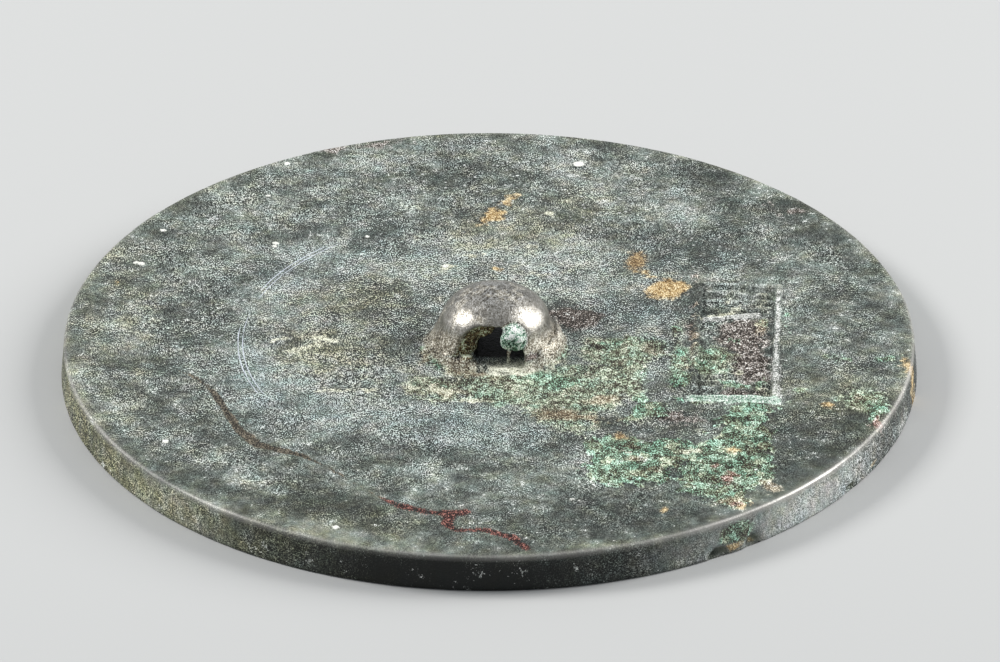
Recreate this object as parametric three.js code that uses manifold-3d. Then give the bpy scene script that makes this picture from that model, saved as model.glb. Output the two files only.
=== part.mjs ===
// Plain round bronze mirror lying on its polished side, so its back is up: a thick cast disc with a
// pierced, domed knob for a cord and a framed panel of shallow marks beside the knob.
// Millimetres, +Z up. The origin is on the underside, at the centre of the disc.
import * as THREE from "three";
import { mergeVertices } from "three/addons/utils/BufferGeometryUtils.js";
import Module from "manifold-3d";

// Driving dimensions
const DIAMETER = 115; // across the lower edge of the rim
const THICKNESS = 5.1;
const RIM_FLARE = 0.4; // the rim leans out by this much from the upper edge to the lower one
const UPPER_EDGE_RADIUS = 0.5;
const LOWER_CHAMFER = 0.3;

const KNOB_CENTRE = { x: 0.8, y: -2.1 }; // the knob was cast a little off the disc's centre
const KNOB_BASE_RADIUS = 9.0;
const KNOB_SHOULDER_RADIUS = 7.45;
const KNOB_SHOULDER_HEIGHT = 3.7;
const KNOB_HEIGHT = 8.4; // above the back of the disc
const KNOB_FOOT_FILLET = 0.5;
const DOME_POWER = 1.75; // 2 would make the dome an ellipse; less makes it more pointed

const CORD_HOLE = { x: 1.6, width: 6.2, height: 5.2, power: 2.6 };
const MOUTH = { x: 0, width: 9.6, height: 5.8, depth: 3.4, setback: 7.9 }; // the hole's flared ends

const PANEL = { x: 33.1, y: -2.1, width: 11.6, length: 31, turn: -2.9 }; // turn in degrees
const FRAME_WIDTH = 0.8;
const FRAME_HEIGHT = 0.35;
const PANEL_DEPTH = 0.25;
const MARK_RISE = 0.15; // how far the marks stand above the back of the disc
const MARK_COLUMNS = 3;
// Two blocks of marks along the panel: its first row's place, and the pitch and width of its rows
const MARK_BLOCKS = [
  { first: 13.0, rows: 3, pitch: 2.1, width: 0.85 },
  { first: -4.2, rows: 6, pitch: 1.65, width: 0.7 },
];
const LONG_MARK = { u: -0.8, v: 6.7, length: 8, width: 0.9, slant: 13 };

// Chips out of the rim's lower edge: direction in degrees from +X, and width, depth and height
const CHIPS = [
  { angle: -58.7, width: 3.4, depth: 1.0, height: 1.5 },
  { angle: -53.4, width: 2.6, depth: 0.9, height: 1.9 },
  { angle: -34.2, width: 2.8, depth: 0.8, height: 1.2 },
];

const BURY = 0.5; // how far a joined solid reaches into its neighbour
const DISC_SEGMENTS = 120;
const KNOB_SEGMENTS = 60;

const wasm = await Module();
wasm.setup();

// A closed geometry as a solid that can be joined and cut.
function solid(geometry) {
  const bare = geometry.clone();
  bare.deleteAttribute("normal");
  bare.deleteAttribute("uv");
  const merged = mergeVertices(bare, 1e-4);
  return new wasm.Manifold(
    new wasm.Mesh({
      numProp: 3,
      vertProperties: new Float32Array(merged.attributes.position.array),
      triVerts: new Uint32Array(merged.index.array),
    }),
  );
}

// A solid as geometry with flat-shaded faces.
function geometryOf(body) {
  const mesh = body.getMesh();
  const geometry = new THREE.BufferGeometry();
  geometry.setAttribute("position", new THREE.BufferAttribute(mesh.vertProperties, 3));
  geometry.setIndex(new THREE.BufferAttribute(mesh.triVerts, 1));
  const faceted = geometry.toNonIndexed();
  faceted.computeVertexNormals();
  return faceted;
}

// A solid turned about +Z from profile points (radius, height), listed from the bottom up.
function turned(profile, segments) {
  const geometry = new THREE.LatheGeometry(profile, segments);
  geometry.rotateX(Math.PI / 2);
  return geometry;
}

// Points of a quarter round, both ends included, from one angle to another in degrees.
function arc(centreR, centreZ, radius, fromDeg, toDeg, steps) {
  return Array.from({ length: steps + 1 }, (_, i) => {
    const a = THREE.MathUtils.degToRad(fromDeg + ((toDeg - fromDeg) * i) / steps);
    return new THREE.Vector2(centreR + radius * Math.cos(a), centreZ + radius * Math.sin(a));
  });
}

function disc() {
  const lower = DIAMETER / 2;
  const upper = lower - RIM_FLARE;
  const profile = [
    new THREE.Vector2(0, 0),
    new THREE.Vector2(lower - LOWER_CHAMFER, 0),
    new THREE.Vector2(lower, LOWER_CHAMFER),
    ...arc(upper - UPPER_EDGE_RADIUS, THICKNESS - UPPER_EDGE_RADIUS, UPPER_EDGE_RADIUS, 0, 90, 4),
    new THREE.Vector2(0, THICKNESS),
  ];
  return solid(turned(profile, DISC_SEGMENTS));
}

// The knob's radius falls from the foot to the shoulder, and the dome closes it above.
function knobProfile() {
  const slope = (KNOB_BASE_RADIUS - KNOB_SHOULDER_RADIUS) / KNOB_SHOULDER_HEIGHT;
  const foot = arc(KNOB_BASE_RADIUS + KNOB_FOOT_FILLET, KNOB_FOOT_FILLET, KNOB_FOOT_FILLET, 270, 200, 3);
  const side = [1.4, 2.6].map((z) => new THREE.Vector2(KNOB_BASE_RADIUS - slope * z, z));
  const rise = KNOB_HEIGHT - KNOB_SHOULDER_HEIGHT;
  const steps = 9;
  const dome = Array.from({ length: steps + 1 }, (_, i) => {
    const a = (Math.PI / 2) * (i / steps);
    const r = KNOB_SHOULDER_RADIUS * Math.cos(a) ** (2 / DOME_POWER);
    const z = KNOB_SHOULDER_HEIGHT + rise * Math.sin(a) ** (2 / DOME_POWER);
    return new THREE.Vector2(i === steps ? 0 : r, z);
  });
  const buried = new THREE.Vector2(foot[0].x, -BURY);
  return [new THREE.Vector2(0, -BURY), buried, ...foot, ...side, ...dome];
}

// The arched hole for the cord, along Y, with its flat floor level with the back of the disc.
function cordHole() {
  const half = CORD_HOLE.width / 2;
  const power = 2 / CORD_HOLE.power;
  const outline = Array.from({ length: 15 }, (_, i) => {
    const a = (Math.PI * i) / 14;
    const side = Math.sign(Math.cos(a)) * Math.abs(Math.cos(a)) ** power;
    return new THREE.Vector2(half * side, CORD_HOLE.height * Math.sin(a) ** power);
  });
  const length = 4 * KNOB_BASE_RADIUS;
  const arch = new THREE.ExtrudeGeometry(new THREE.Shape(outline), { depth: length, bevelEnabled: false });
  arch.rotateX(Math.PI / 2); // the arch stands up in Z and runs along -Y
  arch.translate(CORD_HOLE.x, KNOB_CENTRE.y + length / 2, THICKNESS);
  return solid(arch);
}

// One flared end of the hole: a half-ellipsoid hollow with the same flat floor. side is -1 or 1.
function mouth(side) {
  const steps = 8;
  const round = Array.from({ length: steps + 1 }, (_, i) => {
    const a = (Math.PI / 2) * (i / steps);
    return new THREE.Vector2(i === steps ? 0 : Math.cos(a), Math.sin(a));
  });
  const hollow = turned([new THREE.Vector2(0, 0), ...round], 32);
  hollow.scale(MOUTH.width / 2, MOUTH.depth, MOUTH.height);
  hollow.translate(MOUTH.x, KNOB_CENTRE.y + side * MOUTH.setback, THICKNESS);
  return solid(hollow);
}

function knob() {
  const body = turned(knobProfile(), KNOB_SEGMENTS);
  body.translate(KNOB_CENTRE.x, KNOB_CENTRE.y, THICKNESS);
  return solid(body).subtract(cordHole()).subtract(mouth(-1)).subtract(mouth(1));
}

// A bar on the panel: its place and size are in the panel's own directions, u across and v along.
function panelBar(u, v, across, along, bottom, top, turn = 0) {
  const bar = new THREE.BoxGeometry(across, along, top - bottom);
  bar.rotateZ(THREE.MathUtils.degToRad(turn));
  bar.translate(u, v, (top + bottom) / 2);
  bar.rotateZ(THREE.MathUtils.degToRad(PANEL.turn));
  bar.translate(PANEL.x, PANEL.y, THICKNESS);
  return solid(bar);
}

// Rows of short marks in three columns, and one long slanting mark. They carry no writing: their
// lengths, places and slants follow a few waves.
function marks() {
  const column = (PANEL.width - 2 * FRAME_WIDTH) / MARK_COLUMNS;
  const made = [];
  const add = (u, v, length, width, slant) =>
    made.push(panelBar(u, v, length, width, -PANEL_DEPTH - BURY, MARK_RISE, slant));
  MARK_BLOCKS.forEach(({ first, rows, pitch, width }, block) => {
    for (let row = 0; row < rows; row += 1) {
      for (let col = 0; col < MARK_COLUMNS; col += 1) {
        const wave = Math.sin(1.9 * row + 2.6 * col + block);
        const length = column * (0.68 + 0.16 * wave);
        const slant = 11 * Math.sin(2.3 * row - 1.7 * col);
        const u = (col - (MARK_COLUMNS - 1) / 2) * column + 0.25 * wave;
        const v = first - row * pitch + 0.2 * Math.cos(1.3 * row + 2.1 * col);
        add(u, v, length, width, slant);
      }
    }
  });
  add(LONG_MARK.u, LONG_MARK.v, LONG_MARK.length, LONG_MARK.width, LONG_MARK.slant);
  return made;
}

// The panel's frame: a low ridge round a sunk floor that the marks stand on.
function withPanel(body) {
  const inner = { across: PANEL.width - 2 * FRAME_WIDTH, along: PANEL.length - 2 * FRAME_WIDTH };
  const ridge = panelBar(0, 0, PANEL.width, PANEL.length, -BURY, FRAME_HEIGHT);
  const floor = panelBar(0, 0, inner.across, inner.along, -PANEL_DEPTH, 2 * FRAME_HEIGHT);
  return marks().reduce((made, mark) => made.add(mark), body.add(ridge).subtract(floor));
}

function chip({ angle, width, depth, height }) {
  const bite = new THREE.IcosahedronGeometry(1, 1);
  bite.scale(depth, width / 2, height);
  bite.translate(DIAMETER / 2, 0, 0);
  bite.rotateZ(THREE.MathUtils.degToRad(angle));
  return solid(bite);
}

const cast = withPanel(disc().add(knob()));
const chipped = CHIPS.reduce((made, size) => made.subtract(chip(size)), cast);

const patina = new THREE.MeshStandardMaterial({ color: 0x5c645c, roughness: 0.62, metalness: 0.55 });
const mirror = new THREE.Mesh(geometryOf(chipped), patina);
mirror.name = "round_mirror";

const part = new THREE.Group();
part.add(mirror);

export default part;
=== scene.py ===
"""Looks of a round bronze mirror that lies back up: one fine mesh stands for its one CAD node.

The mesh is made in millimetres in the CAD frame: a disc whose back carries the casting's waves, the
corrosion crusts and the framed panel, joined with the pierced knob and the lump of corrosion in its hole.
Where each patch of patina and of painted light and shade lies is worked out per vertex; its colours and
grain are shader nodes.
"""

import math

import bpy
import numpy as np
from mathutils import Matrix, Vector
from mathutils.geometry import delaunay_2d_cdt


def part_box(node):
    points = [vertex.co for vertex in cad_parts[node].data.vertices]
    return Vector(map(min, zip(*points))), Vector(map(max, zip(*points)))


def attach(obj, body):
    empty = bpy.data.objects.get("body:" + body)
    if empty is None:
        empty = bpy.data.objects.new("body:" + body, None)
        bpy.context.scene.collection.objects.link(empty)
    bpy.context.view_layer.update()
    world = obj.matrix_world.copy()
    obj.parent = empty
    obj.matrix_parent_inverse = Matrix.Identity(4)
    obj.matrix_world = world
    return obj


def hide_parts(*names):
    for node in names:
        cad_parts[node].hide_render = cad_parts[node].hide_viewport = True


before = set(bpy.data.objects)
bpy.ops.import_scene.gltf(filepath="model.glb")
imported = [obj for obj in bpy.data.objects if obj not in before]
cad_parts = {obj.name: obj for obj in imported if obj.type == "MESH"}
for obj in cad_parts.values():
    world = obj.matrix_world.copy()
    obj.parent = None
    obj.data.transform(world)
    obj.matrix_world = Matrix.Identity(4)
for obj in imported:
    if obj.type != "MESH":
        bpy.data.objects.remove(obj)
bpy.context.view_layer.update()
node_low, node_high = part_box("round_mirror")

MM = 0.001
RADIUS = (node_high.x - node_low.x) / 2 / MM  # at the rim's lower edge
TOP = node_high.z / MM  # the knob's top

# Sizes of the casting, in millimetres, as in the CAD source
FACE = 5.1  # height of the disc's back
RIM_FLARE = 0.4
EDGE_RADIUS = 0.5
LOWER_CHAMFER = 0.3
KNOB_X, KNOB_Y = 0.8, -2.1
KNOB_FOOT = 9.0
KNOB_SHOULDER = 7.45
KNOB_SHOULDER_Z = 3.7
KNOB_HEIGHT = TOP - FACE
FOOT_FILLET = 0.5
DOME_POWER = 1.75
HOLE_X, HOLE_WIDTH, HOLE_HEIGHT, HOLE_POWER = 1.6, 6.2, 5.2, 2.6
MOUTH_X, MOUTH_WIDTH, MOUTH_HEIGHT, MOUTH_SETBACK = 0.0, 9.6, 5.8, 7.9
PANEL_X, PANEL_Y, PANEL_WIDTH, PANEL_LENGTH, PANEL_TURN = 33.1, -2.1, 11.6, 31.0, -2.9
FRAME_WIDTH, FRAME_HEIGHT, PANEL_DEPTH, MARK_RISE = 0.8, 0.35, 0.25, 0.15
MARK_COLUMNS = 3
MARK_BLOCKS = [  # first row, rows, pitch, width
    (13, 3, 2.1, 0.85), (-4.2, 6, 1.65, 0.7),
]
LONG_MARK = (-0.8, 6.7, 8.0, 0.9, 13.0)  # across, along, length, width, slant in degrees
LUMP = (3.05, -8.1, FACE + 4.0)  # the corrosion in the hole
LUMP_SIZES, LUMP_REACH = (1.6, 1.45, 1.7), 2.3
STEM_X, STEM_Y = 2.6, -7.6
CRUSTS_IN_MOUTH = [  # centre, half sizes, roughness and seed
    ((-3.2, -7.9, FACE + 0.2), (1.6, 1.6, 1.0), 0.25, 101),
    ((-1.4, -9.3, FACE - 0.2), (2.4, 1.1, 0.8), 0.2, 103),
    ((2.6, -9.9, FACE - 0.3), (3.0, 0.9, 0.8), 0.2, 105),
    ((-2.4, -6.3, FACE + 2.6), (1.0, 0.9, 1.6), 0.25, 107),
    ((-1.2, -6.0, FACE + 5.0), (2.2, 1.2, 1.9), 0.25, 109),
    ((4.5, -6.8, FACE + 4.6), (1.0, 0.9, 1.2), 0.2, 111),
]
KNOB_STEP = 0.26
CHIPS = [(-58.7, 3.4, 1, 1.5), (-53.4, 2.6, 0.9, 1.9), (-34.2, 2.8, 0.8, 1.2)]

ARC_CENTRE = (1.06, -1.5)  # of the turning marks
SCRATCH_CENTRE = (-28.0, 22.0)  # of the curved scratches on the knob
RIM_POINTS = 720
COARSE, CRUST_STEP, PANEL_STEP = 0.46, 0.34, 0.23  # spacing of the vertices on the back


# ---- noise and fields, in millimetres


def hashed(ix, iy, iz, seed):
    """Repeatable values in -1..1 for whole-number lattice points."""
    h = (ix * 374761393 + iy * 668265263 + iz * 1440662683 + seed * 1274126177) & 0xFFFFFFFF
    h = ((h ^ (h >> 13)) * 1274126177) & 0xFFFFFFFF
    return ((h ^ (h >> 16)) & 0xFFFFF) / 524287.5 - 1.0


def noise(points, size, seed):
    """Smooth noise of about -1..1 with lumps about size across."""
    p = points / size
    cell = np.floor(p).astype(np.int64)
    f = p - cell
    fade = f * f * f * (f * (f * 6 - 15) + 10)
    total = np.zeros(len(points))
    for corner in np.ndindex(2, 2, 2):
        c = np.array(corner)
        at = cell + c
        dot = sum(hashed(at[:, 0], at[:, 1], at[:, 2], seed + k) * (f[:, k] - c[k]) for k in range(3))
        total += dot * np.prod(np.where(c, fade, 1 - fade), axis=1)
    return total * 1.6


def rough(points, size, seed):
    """Noise with finer noise on it."""
    return sum(0.5**k * noise(points, size / 2**k, seed + 10 * k) for k in range(3))


def bumps(points, size, seed):
    """Rounded knobbles, 1 at their tops and 0 in the creases between them."""
    p = points[:, :2] / size
    cell = np.floor(p).astype(np.int64)
    nearest = np.full(len(p), 9.0)
    zero = np.zeros(len(p), np.int64)
    for dx in (-1, 0, 1):
        for dy in (-1, 0, 1):
            ix, iy = cell[:, 0] + dx, cell[:, 1] + dy
            px = ix + 0.5 + 0.42 * hashed(ix, iy, zero, seed)
            py = iy + 0.5 + 0.42 * hashed(ix, iy, zero, seed + 1)
            nearest = np.minimum(nearest, (px - p[:, 0]) ** 2 + (py - p[:, 1]) ** 2)
    return np.clip(1 - nearest * 1.6, 0, 1)


def smooth(value, low, high):
    t = np.clip((value - low) / (high - low), 0, 1)
    return t * t * (3 - 2 * t)


def turned(x, y, degrees=0):
    """Places in axes turned anticlockwise by degrees."""
    c, s = math.cos(math.radians(degrees)), math.sin(math.radians(degrees))
    return x * c + y * s, y * c - x * s


def patches(x, y, ovals):
    """How far inside the nearest oval a place is."""
    best = np.full(x.shape, -9.0)
    for cx, cy, a, b, *turn in ovals:
        u, v = turned(x - cx, y - cy, *turn)
        best = np.maximum(best, (1 - np.hypot(u / a, v / b)) * min(a, b))
    return best


def shades(x, y, ovals):
    """Soft patches that add up."""
    total = np.zeros(x.shape)
    for cx, cy, a, b, strength, *turn in ovals:
        u, v = turned(x - cx, y - cy, *turn)
        total += strength * np.exp(-1.2 * ((u / a) ** 2 + (v / b) ** 2) ** 1.5)
    return total


def beside(x, y, route):
    """How far inside a route a place is."""
    best = np.full(x.shape, -9.0)
    for (x0, y0, w0), (x1, y1, w1) in zip(route, route[1:]):
        dx, dy = x1 - x0, y1 - y0
        t = np.clip(((x - x0) * dx + (y - y0) * dy) / (dx * dx + dy * dy), 0, 1)
        gap = np.hypot(x - x0 - t * dx, y - y0 - t * dy)
        best = np.maximum(best, w0 + t * (w1 - w0) - gap)
    return best


# ---- where each kind of patina, and the painted light and shade, lies
# Ovals are (x, y, half width, half height), then a strength for soft patches, then a turn if there is one.
# Points of a route are (x, y, half width).

# Real cream crust before the hole, painted much lighter to make up for the dome's shade on it: painted
# light.
MOUTH_FLOOR_CREAM_AND_PAINTED_LIGHT = [(3.2, -9.3, 5.6, 2.5, 4)]
GREEN = [
    (17.8, -33.5, 5.8, 7, 20), (22.5, -31.5, 5.5, 4.2), (30.8, -34.5, 6.2, 9, -12), (33.6, -27, 3.9, 8.5),
    (30.5, -40.5, 4.4, 3.6, -35), (34, -20, 3.2, 3), (20.8, -20.9, 3.4, 2.4, 45), (20.2, -17.3, 1.4, 1),
    (25.4, -13.3, 1.7, 4.6), (25.6, -5.5, 1.2, 3.4), (32.5, -17.9, 7.6, 0.9, -3),
    (28.8, -9.6, 1.7, 3.4, 25), (29.4, -4.6, 1.3, 2.6), (33.1, -1.6, 1, 0.9), (31.1, -7.2, 0.6, 2.4, 5),
    (37, 2.6, 0.8, 1.6), (37, -13, 1.4, 0.8), (31, -12.6, 3.2, 0.9, -20), (40.6, -14.8, 2.4, 1.4, 20),
    (53.2, -6.6, 1.3, 1.1), (46.6, -6.8, 1.4, 0.9), (49.6, -16.5, 1, 1.6, 20), (51.2, -21, 1.2, 2.6, -15),
    (18.4, -1.2, 3.4, 1.1, 15), (7.5, -12.5, 5.4, 2.4, -12), (-6.5, -8.6, 2, 1.6, 30),
    (39.9, 4.4, 0.7, 3.2, 8),
]
BAND = [
    (-7, -14.5, 6.2, 3.6, -20), (2.5, -15, 9, 5, -12), (11.5, -15, 7.5, 8), (10, -20.5, 7, 4.6, -30),
    (17, -4.5, 6.5, 5, 10), (17, -12, 4.5, 7), (21.5, -4, 3.2, 3), (29.6, -7.5, 3.4, 6.5, -3),
    (25.2, -9, 2.4, 8), (49.5, -17.5, 4, 3.4, -50),
]
CREAM = [
    (26.4, -31, 1.8, 0.7, 5), (8.4, -8.2, 2.2, 0.9, 45), (-6.6, -15, 3.6, 1.1, -14),
    (-10.8, -14, 1.8, 0.9, -20), (-2, -17.8, 3, 0.6), (-5.9, 18.5, 1.8, 1, -10), (-2, 21.5, 1.6, 0.9),
    (6.1, 23.9, 1.3, 0.8), (6.8, 16.4, 1.3, 0.6), (-24.5, -3.4, 3.6, 1, 25), (-22.4, -1, 3, 0.8, -20),
    (-27.5, -1.2, 1.6, 0.5, 20), (-20, -14.9, 3.4, 0.6, 5), (-15.4, -14.6, 2.6, 0.8), (8.2, 33.4, 1, 0.8),
    (10.9, 37.2, 0.8, 0.7), (31, 5.3, 4.4, 0.8, 15), (32, 7.6, 0.5, 1.3, -20), (33.6, 7.4, 0.5, 1.4, -25),
    (37.3, 8.4, 0.6, 2), (32.6, -10.4, 1.4, 0.5), (34.6, -10.8, 1, 0.4),
]
OCHRE = [
    (0.6, 32.9, 2, 2.6, -12), (2.6, 37, 1.2, 2.6, -35), (-0.9, 30.6, 1.3, 1.3), (1.2, 17.9, 1.5, 0.7),
    (24.1, 12.2, 3.7, 3.1, 35), (44.4, -19, 1.4, 1.1), (22.9, -45.5, 0.9, 0.8), (32, -30.6, 1.3, 0.9),
    (33.3, -44.6, 1.2, 0.8, 20), (56, -8.6, 1.2, 3, 8), (-50.4, 14.2, 0.8, 0.8),
]
OCHRE_TRAIL = [(20.8, 17.2, 0.9), (22, 15.2, 0.6), (24, 13.6, 0.9)]
DARK_OCHRE = [(20, 20.2, 1.7, 3.6, -5), (24.6, 14.4, 2.6, 1.1, -15), (17.2, -27, 1.3, 1.9)]
TAN = [
    (-3.6, -9, 3.4, 2.6, -25), (-6.4, -15.4, 3.4, 1.6, -10), (11, -21.6, 7, 2, -12),
    (15, -17.5, 3, 1.6, 20), (-8.6, -6, 1.2, 2.4), (31.5, -43.4, 2.6, 1.2, 10), (36.5, -40, 1.4, 2.2, 20),
    (18.5, -33, 1.6, 0.8), (20.8, -36, 1.8, 0.9, 20), (27.6, 0, 0.6, 12, -3), (36.6, 1.4, 1.4, 3),
    (-1.6, -11, 4, 1.6, -10),
]
RED_PATCHES = [
    (31.2, -37.6, 1.4, 1.7, -20), (29.4, -34.8, 0.9, 0.8), (18.4, -31, 1.5, 0.7),
    (51, -23.8, 0.8, 1.7, -25), (31.6, -44, 1.6, 0.7), (-15.6, -21.8, 0.5, 0.4),
]
BROWN_PATCHES = [
    (11.4, 4.4, 4.4, 3.6, -15), (13.6, 5, 2.6, 1.8, -15), (38.5, 36, 1.6, 0.6), (41.9, 33.7, 1.8, 0.6),
    (-17.5, 52.8, 6, 1.2, 10), (24, -22, 4, 2), (34, 0, 4.4, 5.2), (35, -9, 3.4, 5),
    (33, -15.6, 5.4, 1.2, -3), (27.4, 4, 0.7, 12, -3),
]
BROWN_STREAK = [
    (-41.5, -9.6, 0.1), (-39.5, -11, 0.25), (-37.4, -13.6, 0.35), (-36, -16.5, 0.6), (-34.6, -20.5, 0.6),
    (-32.6, -25.6, 0.8), (-30.4, -28.8, 0.9), (-27.6, -30.3, 0.75), (-24.2, -32, 0.45),
    (-20.9, -34.8, 0.25), (-18.3, -38, 0.2), (-14, -42.5, 0.15),
]
RED_STREAK = [
    (-13.6, -43, 0.4), (-11, -44.8, 0.9), (-7.6, -46.1, 0.8), (-5, -46.5, 1), (-3.2, -46.2, 0.9),
]
RED_BRANCH = [
    (-5, -47, 1.1), (-5.4, -49, 0.9), (-4.2, -50.6, 0.6), (-0.2, -50.6, 0.7), (2.8, -52.2, 0.8),
    (4.9, -55, 0.8),
]
SPECKS = [
    (12.4, 47.4, 0.9), (-44.8, 28.5, 0.6), (-47.4, 19.2, 0.6), (-48.2, 19.5, 0.5), (-29.3, 24.9, 0.55),
    (-29.4, 24, 0.5), (-30.6, 38.4, 0.5), (-28.2, 47.7, 0.5), (-42.4, -28.3, 0.6), (-19.6, -50, 0.6),
    (10.8, -42.9, 0.45), (11.8, -43.3, 0.4), (30.1, -49.2, 0.4), (-16.7, 26.7, 0.5), (16.2, -53.3, 0.35),
    (-6, 18.5, 0.6),
]
LIGHT_AND_DARK = [
    (-22, -17, 15, 9, 0.35), (-18, 20, 12, 7, 0.35), (0, 45, 24, 8, 0.2), (-6, -6, 6, 8, 0.2),
    (12, 14, 12, 5, 0.4), (10, -12, 12, 6, 0.35), (-16.7, 49.2, 5.5, 3.6, 0.45, 10), (-33, 34, 5, 5, 0.35),
    (4.2, 24.2, 14, 6.5, 0.45), (-9, 18, 7, 4, 0.3), (-30, 9, 5.5, 6.5, 0.4), (31.7, 16.6, 5.5, 2.8, 0.45),
    (25.8, 33.3, 4.5, 3, 0.25), (-4, -23, 12, 5, 0.3, -8), (-31.5, -12, 3, 8, 0.3), (-50, 3, 4, 9, 0.2),
    (-31.7, -37.9, 4, 1.6, 0.25, -10), (-8, -37, 9, 3.5, 0.15), (-20, -6, 7, 5, 0.2),
    (-4.2, 44, 13, 5.5, -0.4, -5), (-14, 27.5, 7, 6, -0.3, -15), (-25.5, 28.5, 4, 3, -0.3),
    (13.5, 29, 7, 3.2, -0.4, -20), (-37.5, 6, 2.6, 11, -0.35), (-18.3, 12.5, 5.5, 4, -0.3),
    (-12.5, 3.5, 3, 8, -0.4), (19.5, -6, 4.5, 4, -0.35), (26, 22, 8, 6, -0.35, -20),
    (42.5, 31, 6, 6, -0.25), (46, 8, 5, 6, -0.25), (43, -23, 9, 5, -0.4, 10), (25.5, -22, 7, 3, -0.5, 5),
    (7.5, -26, 6, 4, -0.25, -20), (-21, -44, 8, 4, -0.3, -15), (16, -48, 14, 5, -0.3, 15),
    # (-9.6, 0.8) darkens the face beside the knob's left foot, where the knob casts its shadow: painted
    # shadow.
    (11.6, 4.4, 4.6, 3.6, -1.3, -15), (-9.6, 0.8, 1.6, 4.5, -0.7), (27.6, -1, 0.9, 15, -0.45, -3),
    (23.8, -36.2, 2.6, 1, -0.9, -25), (40, -33, 8, 7, -0.45), (0, -46, 10, 4, -0.2), (20, 35, 8, 5, 0.2),
    (48, 2, 5, 7, 0.2), (-20, -51.5, 9, 3, 0.45, -12), (47, -14, 6, 5, 0.15), (21, -5, 5, 4, -0.3),
    (-43, -12, 5, 5, -0.2), (-20, -30, 5, 4, -0.2), (20.5, 6, 4, 4, -0.4), (33.5, 10.5, 4.5, 4, 0.35),
    (30, 45, 6, 4, -0.4),
]
WARM_AND_COOL = [
    (-4, -24, 14, 7, -0.7, -5), (20, -6, 5, 5, -0.6), (20, 6, 8, 4, -0.6), (-31, -10, 5, 12, -0.6),
    (-26, 18, 9, 6, -0.4, 40), (-12, 26, 9, 7, -0.5), (28, 22, 8, 6, -0.3), (-25, -20, 8, 6, -0.4),
    (0, 28, 12, 6, 0.7), (-18, 10, 8, 6, 0.8), (-22, -4, 9, 7, 0.9), (12, 35, 8, 6, 0.5),
    (46, -18, 10, 9, 0.7), (-20, -47, 14, 6, 0.6, -20), (-50, 0, 6, 30, 0.4),
]
LEFT_ARC = [
    (-18, 27, 0.9), (-23, 23, 1.8), (-28.5, 17, 2), (-32, 8, 1.3), (-33.4, 0, 1.6), (-32.8, -8, 1.8),
    (-30.6, -15, 1.6), (-27.6, -20, 0.8),
]
RIGHT_ARC = [(5, 33, 0.8), (11.5, 31.5, 1.3), (17.5, 28.8, 0.7)]
# Painted light and shade on the rim's wall: near black on the near side, lighter towards the right where
# the softboxes light it; a few spots are the wall's own streaks.
WALL_PAINTED_LIGHT_AND_SHADE = [  # below: angle from the near side, height, half width in degrees, half height, strength
    (-4, 2.5, 20, 9, -2.3), (-32, 4.6, 8, 1, -0.5), (-48, 2.5, 12, 9, 0.8), (-78, 2.5, 14, 9, -0.2),
    (27, 2.5, 6, 9, 0.7), (44, 2.5, 11, 9, 1.35), (57, 3.4, 6, 9, 0.7), (66, 2.5, 6, 9, -0.4),
    (73, 0.9, 3, 1.2, 1.3), (82, 2, 9, 9, -0.7),
]
WALL_GREENS = [
    (34, 2.9, 2.6, 1.6, 1.7), (110, 2, 9, 2, 0.8), (-140, 3, 12, 1.6, 0.7), (170, 1.5, 14, 1.5, 0.6),
]
WALL_OCHRES = [
    (33, 0.9, 2.6, 0.8, 1), (80, 4.2, 2.5, 0.7, 0.7), (62, 1.2, 1.5, 0.8, 0.6), (-70, 2, 9, 2, 0.35),
    (150, 2.6, 6, 1.2, 0.6),
]
# White dots, partly dust and partly painted glints of the softboxes.
FLECKS_AND_PAINTED_GLINTS = [
    (-2, 42, 24, 9, 1), (20, 34, 16, 10, 0.8, -20), (-36, 4, 9, 20, 0.7), (-20, -14, 16, 12, 0.8),
    (-14, 22, 14, 10, 0.6), (34, 20, 14, 10, 0.6),
]


def panel_place(x, y):
    """A place in the panel's own directions, across and along."""
    return turned(x - PANEL_X, y - PANEL_Y, PANEL_TURN)


def knob_distance(x, y):
    return np.hypot(x - KNOB_X, y - KNOB_Y)


def knob_skin(points):
    """1 on the knob's outer skin, less inside its hole, and 9 below the disc's back."""
    r = knob_distance(points[:, 0], points[:, 1])
    z = points[:, 2] - FACE
    side = KNOB_FOOT + (KNOB_SHOULDER - KNOB_FOOT) * z / KNOB_SHOULDER_Z
    rise = np.clip(z - KNOB_SHOULDER_Z, 0, None) / (KNOB_HEIGHT - KNOB_SHOULDER_Z)
    dome = ((r / KNOB_SHOULDER) ** DOME_POWER + rise**DOME_POWER) ** (1 / DOME_POWER)
    return np.where(z < -0.4, 9, np.where(z < KNOB_SHOULDER_Z, r / side, dome))


def rim_angle(x, y):
    """Degrees round the rim from the near side, positive to the right."""
    return np.degrees(np.arctan2(x, -y))


def along_rim(points, spots):
    """Soft patches on the rim's wall: (angle, height, half width in degrees, half height, strength)."""
    angle, z = rim_angle(points[:, 0], points[:, 1]), points[:, 2]
    total = np.zeros(len(points))
    for at, height, half_width, half_height, strength in spots:
        apart = np.abs((angle - at + 180) % 360 - 180)
        total += strength * np.exp(-((apart / half_width) ** 2) - ((z - height) / half_height) ** 2)
    return total


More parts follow.
